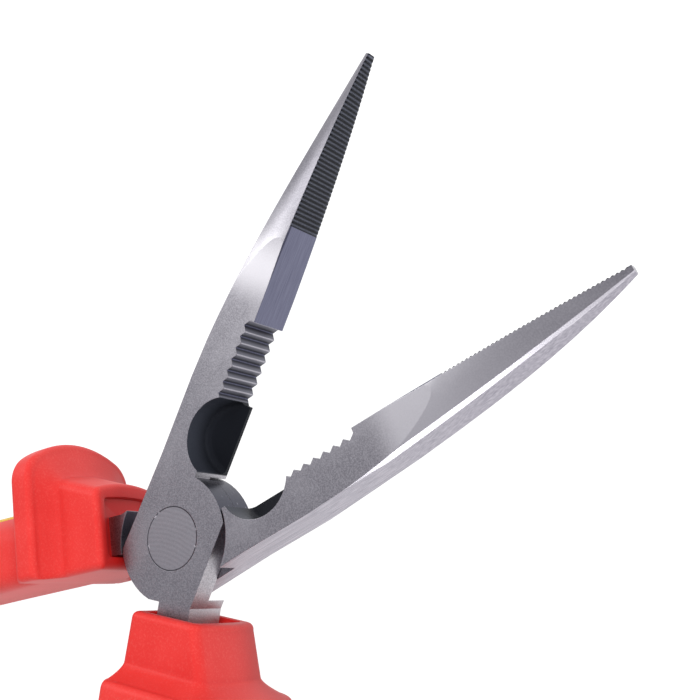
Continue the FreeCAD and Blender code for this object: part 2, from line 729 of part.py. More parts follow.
def hand_stop(doc):
    """Collar, concave flare and finger guard as one solid with soft rims."""
    stations = []
    for along, across in quarter_steps(3):
        inset = "collar_round * %s" % round(1 - across, 4)
        stations.append(("collar_s + collar_round * %s" % along, inset,
                         "collar_palm - " + inset, "collar_half - " + inset,
                         "collar_corner", "collar_bulge"))
    for across, along in quarter_steps(4):
        rise = "( ( %s + %s ) / 2 )" % (along, round(math.sqrt(across), 4))
        stations.append((
            "neck_s + ( guard_s - neck_s ) * " + rise, "0 * half",
            "neck_palm + ( guard_palm - guard_round - neck_palm ) * %s" % across,
            "neck_half + ( guard_half - guard_round - neck_half ) * %s" % across,
            "collar_corner + ( guard_corner - collar_corner ) * %s" % across,
            "collar_bulge + ( guard_bulge - collar_bulge ) * %s" % across))
    for along, across in quarter_steps(3)[1:]:
        inset = "guard_round * %s" % round(1 - across, 4)
        stations.append((
            "guard_s + guard_round * %s" % along, "0 * half",
            "guard_palm - " + inset, "guard_half - " + inset, "guard_corner", "guard_bulge"))
    for across, along in quarter_steps(3):
        inset = "guard_round * %s" % across
        stations.append((
            "guard_s + guard_width - guard_round + guard_round * %s" % along, inset,
            "guard_palm - " + inset, "guard_half - " + inset, "guard_corner", "guard_bulge"))
    sections = []
    for number, (distance, inset, palm, depth, corner, bulge) in enumerate(stations):
        sections.append(grip_section(doc, "stop_%02d" % number, distance,
                                     "grip_inside - " + inset, palm, depth, corner,
                                     "guard_round", bulge))
    doc.recompute()
    return loft(doc, "hand_stop", sections, True)


def sleeve_pieces(doc):
    """Insulating sleeve over the tang, and the block the grip is hollowed with."""
    turn = handle_turn(doc)
    outer = Outline(doc, "sleeve_outline", None, turn).chain(
        strip_corners("sleeve_s", "sleeve_length", "sleeve_inside", "sleeve_palm"))
    block = extrude(doc, "sleeve_block", outer, "sleeve_half", "sleeve_half")
    core_sketch = Outline(doc, "core_outline", None, turn).chain(
        strip_corners("boss_r * 0.5", "tang_length", "tang_inside", "tang_palm"))
    core = extrude(doc, "core", core_sketch, "half", "half")
    doc.recompute()
    return block, core


def mouth_solid(doc):
    """Recess round the tang at the open end of the collar."""
    outline = grip_section(doc, "mouth_outline", "collar_s - mouth_depth",
                           "mouth_inside", "mouth_palm", "mouth_half",
                           "mouth_half * 0.12", "mouth_half * 0.12", "collar_bulge * 2")
    solid = extrude(doc, "mouth", outline, "mouth_depth * 2")
    doc.recompute()
    return solid


def inlay_block(doc, pocket_floor):
    """Long pocket on the palm side, following the handle down to a level floor."""
    sweep = "( ( inlay_end_s - bend_s ) / handle_bend_r * 1rad )"
    lift = "( grip_palm * 1.5 )"
    low = "( grip_palm * 0.5 )"
    corners = [
        ("inlay_s", low, None),
        ("bend_s", low, "-1 * ( handle_bend_r + " + low + " )"),
        ("bend_s + ( handle_bend_r + " + low + " ) * sin( " + sweep + " )",
         "( handle_bend_r + " + low + " ) * cos( " + sweep + " ) - handle_bend_r", None),
        ("bend_s + ( handle_bend_r + " + lift + " ) * sin( " + sweep + " )",
         "( handle_bend_r + " + lift + " ) * cos( " + sweep + " ) - handle_bend_r",
         "handle_bend_r + " + lift),
        ("bend_s", lift, None),
        ("inlay_s", lift, None),
    ]
    outline = Outline(doc, "inlay_side", None, handle_turn(doc)).chain(corners)
    slab = extrude(doc, "inlay_slab", outline, "inlay_half", "inlay_half")
    doc.recompute()
    return combine(doc, "Part::Cut", "inlay_space", slab, pocket_floor)


def handle_pieces(doc):
    """Sleeve, inlay and moulded grip of the right-hand handle, jaws shut."""
    body = grip_loft(doc, "grip_body", "0 * inlay_depth")
    floor = grip_loft(doc, "inlay_floor", "inlay_depth")
    block, core = sleeve_pieces(doc)
    space = inlay_block(doc, floor)
    doc.recompute()

    sleeve = combine(doc, "Part::Cut", "sleeve_shape", block, core)
    inlay = combine(doc, "Part::MultiCommon", "inlay_shape", body, space)
    doc.recompute()

    heel = station(doc, "handle_length")

    def at_end(edge):
        """Rim of the handle end."""
        return all(abs(heel.inverse().multVec(v.Point).z) < 0.01 for v in edge.Vertexes)

    soft_body = rounded(doc, "grip_soft", body, "heel_round", at_end)
    outer = combine(doc, "Part::MultiFuse", "grip_outer", soft_body, hand_stop(doc))
    doc.recompute()
    hollows = combine(doc, "Part::MultiFuse", "grip_hollows", block, core, space,
                      mouth_solid(doc))
    doc.recompute()
    grip = combine(doc, "Part::Cut", "grip_shape", outer, hollows)
    doc.recompute()
    return {"sleeve": sleeve, "inlay": inlay, "grip": grip}


# ---------------------------------------------------------------- assembly


def finished(doc, label, source, side):
    """Carry a piece drawn with the jaws shut to the rest opening.

    The front lever and its handle turn one way (side +1), the rear ones the other.
    """
    source.Label = label
    turn = side * evaluate(doc, "opening") / 2
    source.Placement = FreeCAD.Placement(V(0, 0, evaluate(doc, "half")),
                                         FreeCAD.Rotation(V(0, 0, 1), turn))
    return source


def check(piece):
    """Stop on a piece that did not build."""
    state = [word for word in piece.State if word in ("Invalid", "Error")]
    if state or piece.Shape.isNull() or not piece.Shape.isValid():
        raise RuntimeError("%s did not build: %s" % (piece.Label, piece.State))
    if len(piece.Shape.Solids) != 1:
        raise RuntimeError("%s has %d solids" % (piece.Label, len(piece.Shape.Solids)))


def build():
    """Draw every piece, place it and write it out."""
    doc = FreeCAD.newDocument("pliers")
    make_sheet(doc)
    os.makedirs("parts", exist_ok=True)

    front, rear = levers(doc)
    rivet = pivot_rivet(doc)
    shapes = handle_pieces(doc)
    pieces = [
        finished(doc, "lever_front", front, 1),
        finished(doc, "lever_rear", rear, -1),
        finished(doc, "pivot_rivet", rivet, -1),
    ]
    for kind, shape in shapes.items():
        other_hand = mirror(doc, kind + "_other_hand", shape)
        left = mirror(doc, kind + "_left", shape)
        right = mirror(doc, kind + "_right", other_hand)
        doc.recompute()
        pieces.append(finished(doc, kind + "_front", right, 1))
        pieces.append(finished(doc, kind + "_rear", left, -1))
    doc.recompute()
    for piece in pieces:
        check(piece)
        piece.Shape.exportStep("parts/%s.step" % piece.Label)
        box = piece.Shape.BoundBox
        print("%-14s %9.1f mm3  %7.1f %7.1f %7.1f" % (
            piece.Label, piece.Shape.Volume, box.XLength, box.YLength, box.ZLength))


build()
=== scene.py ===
"""Insulated long-nose pliers: ground steel levers, a flush rivet and moulded two-colour grips.

The levers, the rivet and the sleeves keep their frame meshes and get finishes.  The two
grips and their yellow palm inlays are rebuilt here as smooth moulded bodies that stand
for the plain frame solids.  Sizes of the pliers are millimetres, those of the studio metres.
"""

import logging
import math
from dataclasses import dataclass, replace
from enum import Enum

import bmesh
import bpy
from mathutils import Matrix, Vector

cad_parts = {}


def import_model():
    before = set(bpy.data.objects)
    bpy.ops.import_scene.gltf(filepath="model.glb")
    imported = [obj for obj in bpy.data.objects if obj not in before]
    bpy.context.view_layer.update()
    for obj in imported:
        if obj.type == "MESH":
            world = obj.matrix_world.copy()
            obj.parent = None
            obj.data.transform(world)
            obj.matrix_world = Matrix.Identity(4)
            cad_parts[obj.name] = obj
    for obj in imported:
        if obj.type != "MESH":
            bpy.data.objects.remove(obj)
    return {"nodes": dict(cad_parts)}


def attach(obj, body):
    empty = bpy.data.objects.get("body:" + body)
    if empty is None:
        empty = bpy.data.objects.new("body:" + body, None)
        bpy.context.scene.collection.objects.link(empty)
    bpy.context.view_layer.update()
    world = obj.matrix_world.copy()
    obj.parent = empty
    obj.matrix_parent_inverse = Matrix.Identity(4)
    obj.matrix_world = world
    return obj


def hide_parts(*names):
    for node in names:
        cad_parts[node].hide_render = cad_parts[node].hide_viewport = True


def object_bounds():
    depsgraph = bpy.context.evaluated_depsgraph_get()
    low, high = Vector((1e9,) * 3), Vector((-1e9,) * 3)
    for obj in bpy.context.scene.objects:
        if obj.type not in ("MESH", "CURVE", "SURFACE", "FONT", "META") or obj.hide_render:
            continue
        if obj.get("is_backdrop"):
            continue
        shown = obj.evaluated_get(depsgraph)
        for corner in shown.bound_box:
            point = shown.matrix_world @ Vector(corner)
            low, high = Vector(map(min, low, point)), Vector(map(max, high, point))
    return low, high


LOG = logging.getLogger("pliers")
MM = 0.001


class Side(Enum):
    """The two levers; the value is the way each one turns from shut to rest."""

    FRONT = 1
    REAR = -1

    @property
    def word(self) -> str:
        """Ending of the node names on this side."""
        return self.name.lower()

    @property
    def body(self) -> str:
        """Moving body that the pieces of this side ride on."""
        return self.word + "_half"


# ------------------------------------------------------------------ colour and nodes


def linear(code: str) -> tuple[float, float, float, float]:
    """Turn an sRGB hex colour into linear light.

    Args:
        code: Colour such as "#8E8C92".

    Returns:
        Linear red, green, blue and full alpha.
    """
    digits = code.lstrip("#")
    parts = [int(digits[i:i + 2], 16) / 255 for i in (0, 2, 4)]
    light = [p / 12.92 if p <= 0.04045 else ((p + 0.055) / 1.055) ** 2.4 for p in parts]
    return (light[0], light[1], light[2], 1.0)


def put(tree: bpy.types.NodeTree, kind: str, settings: dict | None = None,
        inputs: dict | None = None) -> bpy.types.Node:
    """Add one node.

    Args:
        tree: Node tree that gets the node.
        kind: Blender's type name of the node.
        settings: Properties of the node by name.
        inputs: Values, or sockets to link from, by input name or number.

    Returns:
        The new node.
    """
    node = tree.nodes.new(kind)
    for name, value in (settings or {}).items():
        setattr(node, name, value)
    for name, value in (inputs or {}).items():
        socket = node.inputs[name]
        if isinstance(value, bpy.types.NodeSocket):
            tree.links.new(value, socket)
        else:
            socket.default_value = value
    return node


class Recipe:
    """A material under construction: its tree, its shader and the pliers' own spaces."""

    def __init__(self, name: str) -> None:
        """Start an empty material with a Principled shader."""
        self.material = bpy.data.materials.new(name)
        self.material.use_nodes = True
        self.tree = self.material.node_tree
        self.shader = self.tree.nodes["Principled BSDF"]
        self.place = put(self.tree, "ShaderNodeTexCoord")

    def math(self, operation: str, a: object, b: object = 0.0) -> bpy.types.NodeSocket:
        """Result of one sum of two sockets or numbers."""
        node = put(self.tree, "ShaderNodeMath", {"operation": operation}, {0: a, 1: b})
        return node.outputs[0]

    def length(self, x: object, y: object) -> bpy.types.NodeSocket:
        """Length of a flat vector.

        Args:
            x: Its first part, a socket or a number.
            y: Its second part, a socket or a number.

        Returns:
            The length.
        """
        flat = put(self.tree, "ShaderNodeCombineXYZ", None, {0: x, 1: y})
        node = put(self.tree, "ShaderNodeVectorMath", {"operation": "LENGTH"},
                   {0: flat.outputs[0]})
        return node.outputs["Value"]

    def ramp(self, value: object, low: float, high: float) -> bpy.types.NodeSocket:
        """Smooth step from 0 at low to 1 at high; low may be the larger."""
        node = put(self.tree, "ShaderNodeMapRange", {"interpolation_type": "SMOOTHSTEP"},
                   {"Value": value, "From Min": low, "From Max": high})
        return node.outputs[0]

    def both(self, *masks: bpy.types.NodeSocket) -> bpy.types.NodeSocket:
        """Product of masks.

        Args:
            masks: Values between 0 and 1.

        Returns:
            Their product.
        """
        result = masks[0]
        for mask in masks[1:]:
            result = self.math("MULTIPLY", result, mask)
        return result

    def blend(self, mask: object, below: object, above: object) -> bpy.types.NodeSocket:
        """Colour that goes from below to above as the mask goes from 0 to 1."""
        node = put(self.tree, "ShaderNodeMix", {"data_type": "RGBA"},
                   {0: mask, 6: below, 7: above})
        return node.outputs[2]

    def noise(self, grain: float, stretch: tuple[float, ...] = (1, 1, 1), detail: float = 3.0,
              space: bpy.types.NodeSocket | None = None) -> bpy.types.NodeSocket:
        """Noise whose cells are "grain" millimetres wide in a space of millimetres.

        Args:
            grain: Width of a cell in millimetres.
            stretch: How much longer the cells are along each axis.
            detail: Octaves of finer detail.
            space: Coordinates in millimetres; the object's own when left out.

        Returns:
            Value between 0 and 1.
        """
        scale = tuple(1 / (grain * s) for s in stretch)
        source = space or self.millimetres()
        laid = put(self.tree, "ShaderNodeMapping", None, {"Vector": source, "Scale": scale})
        node = put(self.tree, "ShaderNodeTexNoise", None,
                   {"Vector": laid.outputs[0], "Scale": 1.0, "Detail": detail})
        return node.outputs["Fac"]

    def millimetres(self, turn: float = 0.0) -> bpy.types.NodeSocket:
        """The object's coordinates in millimetres.

        Args:
            turn: Angle in radians that they are turned about the rivet.

        Returns:
            The coordinates.
        """
        node = put(self.tree, "ShaderNodeMapping", {"vector_type": "POINT"},
                   {"Vector": self.place.outputs["Object"], "Rotation": (0, 0, turn),
                    "Scale": (1 / MM, 1 / MM, 1 / MM)})
        return node.outputs[0]

    def facing(self, turn: float = 0.0) -> list[bpy.types.NodeSocket]:
        """Direction that the surface faces.

        Args:
            turn: Angle in radians that it is turned about the rivet.

        Returns:
            Its parts along x, y and z.
        """
        node = put(self.tree, "ShaderNodeMapping", {"vector_type": "NORMAL"},
                   {"Vector": self.place.outputs["Normal"], "Rotation": (0, 0, turn)})
        return list(put(self.tree, "ShaderNodeSeparateXYZ", None,
                        {0: node.outputs[0]}).outputs)

    def relief(self, height: object, depth: float, round_edge: float = 0.0) -> None:
        """Press a height pattern into the surface.

        Args:
            height: The pattern, 0 to 1.
            depth: Its depth in millimetres.
            round_edge: Radius in millimetres that sharp edges seem to have; 0 for none.
        """
        inputs = {"Height": height, "Distance": depth * MM, "Strength": 1.0}
        if round_edge:
            soft = put(self.tree, "ShaderNodeBevel", {"samples": 6}, {"Radius": round_edge * MM})
            inputs["Normal"] = soft.outputs[0]
        bump = put(self.tree, "ShaderNodeBump", None, inputs)
        self.tree.links.new(bump.outputs[0], self.shader.inputs["Normal"])

    def finish(self, **sockets: object) -> bpy.types.Material:
        """Set the shader's sockets.

        Args:
            sockets: Values or sockets by name, with spaces written as underscores.

        Returns:
            The finished material.
        """
        for name, value in sockets.items():
            socket = self.shader.inputs[name.replace("_", " ")]
            if isinstance(value, bpy.types.NodeSocket):
                self.tree.links.new(value, socket)
            else:
                socket.default_value = value
        return self.material


# ------------------------------------------------------------------ finishes


class JawSpace:
    """Places and directions on one lever, turned so that its jaw points along y."""

    def __init__(self, r: Recipe, side: Side, opening: float) -> None:
        """Lay the lever out in millimetres as it stands with the jaws shut.

        Args:
            r: Material under construction.
            side: Which lever it is for.
            opening: Angle between the two levers at rest, in degrees.
        """
        turn = -side.value * math.radians(opening / 2)
        self.place = r.millimetres(turn)
        self.x, self.y, self.z = put(r.tree, "ShaderNodeSeparateXYZ", None,
                                     {0: self.place}).outputs
        self.nx, self.ny, self.nz = r.facing(turn)
        self.out = r.math("MULTIPLY", self.x, -side.value)
        self.side_up = r.math("MULTIPLY", self.nx, -side.value)


@dataclass(frozen=True)
class GroundSteel:
    """Chrome-vanadium steel, forged, hardened and ground.

    To the eye: a grey satin with a fine speckle on the flat faces, a near-white painted
    highlight where the shank meets the tapered nose, painted shade on the tapered nose, a
    near-white painted highlight on the chamfered edge, lengthwise grind marks on the sides,
    painted shade on the round edge of the boss, and nearly black oxide left in the teeth and
    the cutter.
    """

    opening: float
    # colours
    face: str = "#BDBBC0"
    face_dark: str = "#99979D"
    cloud: str = "#CFCDD1"
    scratched: str = "#E4E2E6"
    # painted highlight: near-white patch on the flat faces where the shank meets the nose
    face_highlight: str = "#F4F2F5"
    # painted shade: darker tone on the tapered nose, stronger on the front lever
    taper_shade: str = "#8C8A92"
    side: str = "#BCB8C1"
    side_dark: str = "#8D8A95"
    # painted highlight on the bevel
    bevel_highlight: str = "#EEEBF1"
    satin: str = "#75768A"
    satin_dark: str = "#64657A"
    groove: str = "#74747E"
    groove_dark: str = "#2A2B32"
    crest: str = "#C4C2CA"
    tooth: str = "#6C6F7B"
    tooth_dark: str = "#17191F"
    oxide: str = "#1C1F26"
    oxide_light: str = "#3C404B"
    # painted shade on the round edge of the boss
    rim: str = "#4B4C57"
    nick: str = "#A9A7B1"
    # grain of the patterns
    speckle: float = 0.22
    clouding: float = 6.0
    grind: float = 0.1
    scratch: float = 0.12
    hair: float = 0.07
    nicks: float = 0.5
    relief: float = 0.005
    round_edge: float = 0.12
    # where the zones of the jaw lie
    half: float = 4.1
    boss_r: float = 10.92
    cutter_x: float = 1.9
    cutter_y: float = 18.6
    cutter_r: float = 6.9
    cutter_top: float = 24.9
    flat_start: float = 38.5
    fine_start: float = 55.5
    fine_pitch: float = 0.75
    crest_out: float = 0.98
    groove_out: float = 1.75
    # where the painted highlight on the flat faces lies
    face_highlight_start: float = 40.0
    face_highlight_peak: float = 47.0
    face_highlight_end_front: float = 56.0
    face_highlight_end_rear: float = 92.0
    # where the painted shade on the tapered nose lies
    taper_start: float = 50.0
    taper_full: float = 64.0

    def faces(self, r: Recipe, jaw: JawSpace, side: Side,
              speck: bpy.types.NodeSocket) -> bpy.types.NodeSocket:
        """Colour of the flat front and back faces, with painted highlight and painted shade.

        Args:
            r: Material under construction.
            jaw: Places and directions on the lever.
            side: Which lever it is for.
            speck: Fine speckle, 0 to 1.

        Returns:
            The colour.
        """
        front = side is Side.FRONT
        blotch = r.noise(self.clouding, (1, 2, 1), 2.0, jaw.place)
        scratch = r.noise(self.scratch, (14, 1.2, 1), 2.0, jaw.place)
        tone = r.blend(r.ramp(speck, 0.34, 0.68), linear(self.face_dark), linear(self.face))
        tone = r.blend(r.math("MULTIPLY", r.ramp(blotch, 0.35, 0.75), 0.4), tone,
                       linear(self.cloud))
        tone = r.blend(r.math("MULTIPLY", r.ramp(scratch, 0.62, 0.74), 0.35), tone,
                       linear(self.scratched))
        # Painted highlight: a near-white patch on the upward flat faces past the shank.
        fade = self.face_highlight_end_front if front else self.face_highlight_end_rear
        face_highlight_mask = r.both(r.ramp(jaw.y, self.face_highlight_start, self.face_highlight_peak - 0.5),
                         r.ramp(jaw.y, fade, self.face_highlight_peak + 0.5),
                         r.ramp(jaw.nz, 0.7, 0.95))
        tone = r.blend(r.math("MULTIPLY", face_highlight_mask, 0.8), tone, linear(self.face_highlight))
        # Painted shade: the tapered nose is darkened, more on the front lever than the rear.
        taper_shade = r.both(r.ramp(jaw.y, self.taper_start, self.taper_full),
                       r.ramp(jaw.nz, 0.6, 0.9))
        return r.blend(r.math("MULTIPLY", taper_shade, 0.4 if front else 0.1), tone,
                       linear(self.taper_shade))

    def teeth(self, r: Recipe, jaw: JawSpace, pipe: bpy.types.NodeSocket,
              fine: bpy.types.NodeSocket, tone: object) -> bpy.types.NodeSocket:
        """Colour with the coarse grooves and the fine teeth added.

        Args:
            r: Material under construction.
            jaw: Places and directions on the lever.
            pipe: Mask of the coarse grooves.
            fine: Mask of the fine teeth.
            tone: Colour below them.

        Returns:
            The colour.
        """
        groove = r.blend(r.ramp(jaw.out, self.groove_out - 0.05, 1.2),
                         linear(self.groove_dark), linear(self.groove))
        tone = r.blend(pipe, tone, groove)
        crest = r.both(pipe, r.ramp(jaw.out, 1.15, self.crest_out))
        tone = r.blend(crest, tone, linear(self.crest))
        along = r.math("SUBTRACT", jaw.y, self.fine_start)
        tooth = r.math("PINGPONG", along, self.fine_pitch / 2)
        top = r.ramp(tooth, self.fine_pitch * 0.16, self.fine_pitch * 0.42)
        ridged = r.blend(top, linear(self.tooth_dark), linear(self.tooth))
        return r.blend(fine, tone, ridged)

    def boss(self, r: Recipe, jaw: JawSpace, tone: object) -> bpy.types.NodeSocket:
        """Colour with painted shade and lighter nicks on the round edge of the boss added.

        Args:
            r: Material under construction.
            jaw: Places and directions on the lever.
            tone: Colour below it.

        Returns:
            The colour.
        """
        from_rivet = r.length(jaw.x, jaw.y)
        outward = r.math("DIVIDE", r.math("ADD", r.math("MULTIPLY", jaw.nx, jaw.x),
                                          r.math("MULTIPLY", jaw.ny, jaw.y)), from_rivet)
        # Painted shade: the outward round edge of the boss is darkened, with lighter nicks.
        rim = r.both(r.ramp(from_rivet, self.boss_r - 0.5, self.boss_r - 0.2),
                     r.ramp(from_rivet, self.boss_r + 0.5, self.boss_r + 0.2),
                     r.ramp(outward, 0.9, 0.97))
        nicks = r.ramp(r.noise(self.nicks, (3, 3, 0.7), 3.0, jaw.place), 0.66, 0.76)
        return r.blend(rim, tone, r.blend(nicks, linear(self.rim), linear(self.nick)))

    def material(self, side: Side) -> bpy.types.Material:
        """Steel of one lever, laid out along its own jaw.

        Args:
            side: Which lever it is for.

        Returns:
            The finished material.
        """
        r = Recipe("ground_steel_" + side.word)
        jaw = JawSpace(r, side, self.opening)
        speck = r.noise(self.speckle, detail=4.0, space=jaw.place)
        long_marks = r.noise(self.grind, (1, 110, 1), 3.0, jaw.place)
        cross_marks = r.noise(self.grind, (30, 1, 30), 3.0, jaw.place)
        hair = r.noise(self.hair, (1, 60, 1), 2.0, jaw.place)

        on_side = r.ramp(jaw.side_up, 0.45, 0.8)
        on_grip = r.ramp(jaw.side_up, -0.3, -0.75)
        in_jaw = r.ramp(jaw.y, self.cutter_top - 0.3, self.cutter_top + 0.3)
        # Mask of the bevel, which gets a near-white painted highlight and a lower roughness.
        bevel_highlight = r.both(r.ramp(jaw.side_up, 0.42, 0.6), r.ramp(jaw.side_up, 0.93, 0.85))
        from_cutter = r.length(r.math("ADD", jaw.out, self.cutter_x),
                               r.math("SUBTRACT", jaw.y, self.cutter_y))
        in_relief = r.both(r.ramp(from_cutter, self.cutter_r + 0.25, self.cutter_r + 0.02),
                           r.ramp(jaw.nz, 0.985, 0.95))
        fine = r.both(on_grip, r.ramp(jaw.y, self.fine_start - 0.1, self.fine_start + 0.1))
        pipe = r.both(in_jaw, r.ramp(jaw.y, self.flat_start + 0.1, self.flat_start - 0.1),
                      r.ramp(jaw.out, self.groove_out, 1.6), r.ramp(jaw.nz, 0.9, 0.6))
        flat = r.both(on_grip, in_jaw)

        pale = r.blend(r.ramp(long_marks, 0.3, 0.7), linear(self.side_dark), linear(self.side))
        # Painted highlight: the bevel is blended towards near-white.
        pale = r.blend(r.math("MULTIPLY", bevel_highlight, 0.7), pale, linear(self.bevel_highlight))
        tone = r.blend(on_side, self.faces(r, jaw, side, speck), pale)
        brushed = r.blend(r.ramp(hair, 0.3, 0.7), linear(self.satin_dark), linear(self.satin))
        tone = r.blend(flat, tone, brushed)
        tone = self.teeth(r, jaw, pipe, fine, tone)
        wall = r.blend(r.ramp(r.math("SUBTRACT", jaw.z, self.half), -3.0, 2.5),
                       linear(self.oxide), linear(self.oxide_light))
        tone = self.boss(r, jaw, r.blend(in_relief, tone, wall))

        dark = r.math("MAXIMUM", r.math("MAXIMUM", in_relief, fine), pipe)
        rough = r.math("ADD", 0.34, r.math("MULTIPLY", speck, 0.12))
        rough = r.math("ADD", rough, r.math("MULTIPLY", dark, 0.14))
        rough = r.math("SUBTRACT", rough, r.math("MULTIPLY", bevel_highlight, 0.1))
        marks = r.blend(on_side, speck, cross_marks)
        r.relief(r.blend(flat, marks, hair), self.relief, self.round_edge)
        metal = r.math("SUBTRACT", 1.0, r.math("MULTIPLY", dark, 0.35))
        return r.finish(Base_Color=tone, Metallic=metal, Roughness=rough)


@dataclass(frozen=True)
class GroundRivet:
    """Mild steel rivet, pressed in and ground flush with the head.

    To the eye: a disc a shade apart from its lever, with broad curved grind marks, a fine
    dark ring where it meets the bore and a few bright nicks on that ring.
    """

    radius: float = 5.3
    tone: str = "#B8B6BB"
    tone_dark: str = "#B0AEB3"
    speckled: str = "#CDCBD0"
    nick: str = "#F4F2F6"
    ring: str = "#5A595F"
    speckle: float = 0.22
    nicks: float = 1.1
    relief: float = 0.0022
    swirl_centre: tuple[float, float, float] = (-9.0, 16.0, 0.0)

    def material(self) -> bpy.types.Material:
        """Steel of the rivet."""
        r = Recipe("ground_rivet_steel")
        space = r.millimetres()
        x, y, _ = put(r.tree, "ShaderNodeSeparateXYZ", None, {0: space}).outputs
        radius = r.length(x, y)
        swirl = put(r.tree, "ShaderNodeTexWave",
                    {"wave_type": "RINGS", "rings_direction": "Z"},
                    {"Vector": put(r.tree, "ShaderNodeMapping", None, {
                        "Vector": space, "Location": self.swirl_centre}).outputs[0],
                     "Scale": 0.42, "Distortion": 3.2, "Detail": 3.0, "Detail Scale": 0.35})
        speck = r.noise(self.speckle, detail=4.0, space=space)
        nick = r.both(r.ramp(radius, self.radius - 0.5, self.radius - 0.16),
                      r.ramp(r.noise(self.nicks, detail=2.0, space=space), 0.63, 0.68))
        tone = r.blend(r.ramp(swirl.outputs["Fac"], 0.1, 0.9), linear(self.tone_dark),
                       linear(self.tone))
        tone = r.blend(r.math("MULTIPLY", r.ramp(speck, 0.4, 0.7), 0.4), tone,
                       linear(self.speckled))
        tone = r.blend(r.ramp(radius, self.radius - 0.2, self.radius - 0.06), tone,
                       linear(self.ring))
        tone = r.blend(nick, tone, linear(self.nick))
        r.relief(swirl.outputs["Fac"], self.relief)
        rough = r.math("ADD", 0.34, r.math("MULTIPLY", speck, 0.12))
        return r.finish(Base_Color=tone, Metallic=1.0, Roughness=rough)


@dataclass(frozen=True)
class MouldedPlastic:
    """Thermoplastic elastomer, injection moulded in a spark-eroded tool.

    To the eye: an even satin with a very fine grain, painted shade that deepens the colour in
    the hollows, and a soft sheen at grazing angles.
    """

    name: str
    light: str
    deep: str
    rough: float = 0.5
    grain: float = 0.35
    clouding: float = 9.0
    relief: float = 0.02
    tint: str = "#FF7A70"
    # colour of the painted shade in the hollows
    shade: str = "#CE1A16"
    hollow: float = 14.0

    def material(self) -> bpy.types.Material:
        """The moulded plastic in its colour."""
        r = Recipe(self.name)
        fine = r.noise(self.grain, detail=4.0)
        broad = r.noise(self.clouding, detail=2.0)
        tone = r.blend(r.ramp(broad, 0.3, 0.7), linear(self.deep), linear(self.light))
        tone = r.blend(r.math("MULTIPLY", r.ramp(fine, 0.45, 0.75), 0.22), tone,
                       linear(self.tint))
        # Painted shade: ambient occlusion deepens the colour in the hollows.
        hollow = put(r.tree, "ShaderNodeAmbientOcclusion", {"samples": 8},
                     {"Distance": self.hollow * MM}).outputs["AO"]
        tone = r.blend(r.ramp(hollow, 0.99, 0.62), tone, linear(self.shade))
        r.relief(fine, self.relief)
        rough = r.math("ADD", self.rough - 0.05, r.math("MULTIPLY", fine, 0.12))
        return r.finish(Base_Color=tone, Roughness=rough, IOR=1.5,
                        Subsurface_Weight=0.04, Subsurface_Scale=0.002)


# ------------------------------------------------------------------ moulded grip

# Points along each stretch of half a section, from the inner face round to the palm.
INNER_POINTS = 8
CREASE_POINTS = 8
CHEEK_POINTS = 14
CORNER_POINTS = 12
PALM_POINTS = 5
INLAY_POINTS = 20
GROOVE_FIRST = INNER_POINTS + CREASE_POINTS + CHEEK_POINTS + CORNER_POINTS + PALM_POINTS


@dataclass(frozen=True)
class Section:
    """One cross-section of a grip, measured from the handle axis in millimetres."""

    inside: float
    palm: float
    half: float
    corner: float
    crease: float
    bulge: float

    def mixed(self, other: "Section", share: float) -> "Section":
        """Section part of the way to another."""
        pairs = zip(self.sizes(), other.sizes())
        return Section(*[a + (b - a) * share for a, b in pairs])

    def sizes(self) -> tuple[float, ...]:
        """The six sizes in order."""
        return (self.inside, self.palm, self.half, self.corner, self.crease, self.bulge)

    def inset(self, depth: float) -> "Section":
        """The same section shrunk by "depth" all round."""
        return Section(self.inside - depth, self.palm - depth, self.half - depth,
                       max(self.corner - depth, 0.3), max(self.crease - depth, 0.2),
                       self.bulge - depth)

    def points(self, breaks: float) -> list[tuple[float, float]]:
        """Outline of the section, starting in the middle of the inner face.

        Args:
            breaks: Half width of the inlay; two points of the palm lie on its edges.

        Returns:
            Pairs of palm distance and height, the same count for every section.
        """
        spread = math.sqrt((self.bulge - self.corner) ** 2 - (self.half - self.corner) ** 2)
        middle = self.palm - self.bulge
        lean = math.atan2(self.half - self.corner, spread)
        edge = min(math.asin(min(breaks / self.bulge, 0.99)), lean * 0.92)
        run: list[tuple[float, float]] = []

        def arc(cx: float, cy: float, size: float, first: float, last: float,
                count: int) -> None:
            """Add points of an arc, without its last one."""
            for i in range(count):
                a = first + (last - first) * i / count
                run.append((cx + size * math.cos(a), cy + size * math.sin(a)))

        def line(a: tuple[float, float], b: tuple[float, float], count: int) -> None:
            """Add points of a straight side, without its last one."""
            for i in range(count):
                s = i / count
                run.append((a[0] + (b[0] - a[0]) * s, a[1] + (b[1] - a[1]) * s))

        quarter = math.pi / 2
        corner, crease, half, back = self.corner, self.crease, self.half, -self.inside
        corner_x = middle + spread
        line((back, 0.0), (back, -half + crease), INNER_POINTS)
        arc(crease + back, crease - half, crease, 2 * quarter, 3 * quarter, CREASE_POINTS)
        line((crease + back, -half), (corner_x, -half), CHEEK_POINTS)
        arc(corner_x, corner - half, corner, -quarter, -lean, CORNER_POINTS)
        arc(middle, 0, self.bulge, -lean, -edge, PALM_POINTS)
        arc(middle, 0, self.bulge, -edge, edge, INLAY_POINTS)
        arc(middle, 0, self.bulge, edge, lean, PALM_POINTS)
        arc(corner_x, half - corner, corner, lean, quarter, CORNER_POINTS)
        line((corner_x, half), (crease + back, half), CHEEK_POINTS)
        arc(crease + back, half - crease, crease, quarter, 2 * quarter, CREASE_POINTS)
        line((back, half - crease), (back, 0.0), INNER_POINTS)
        return run


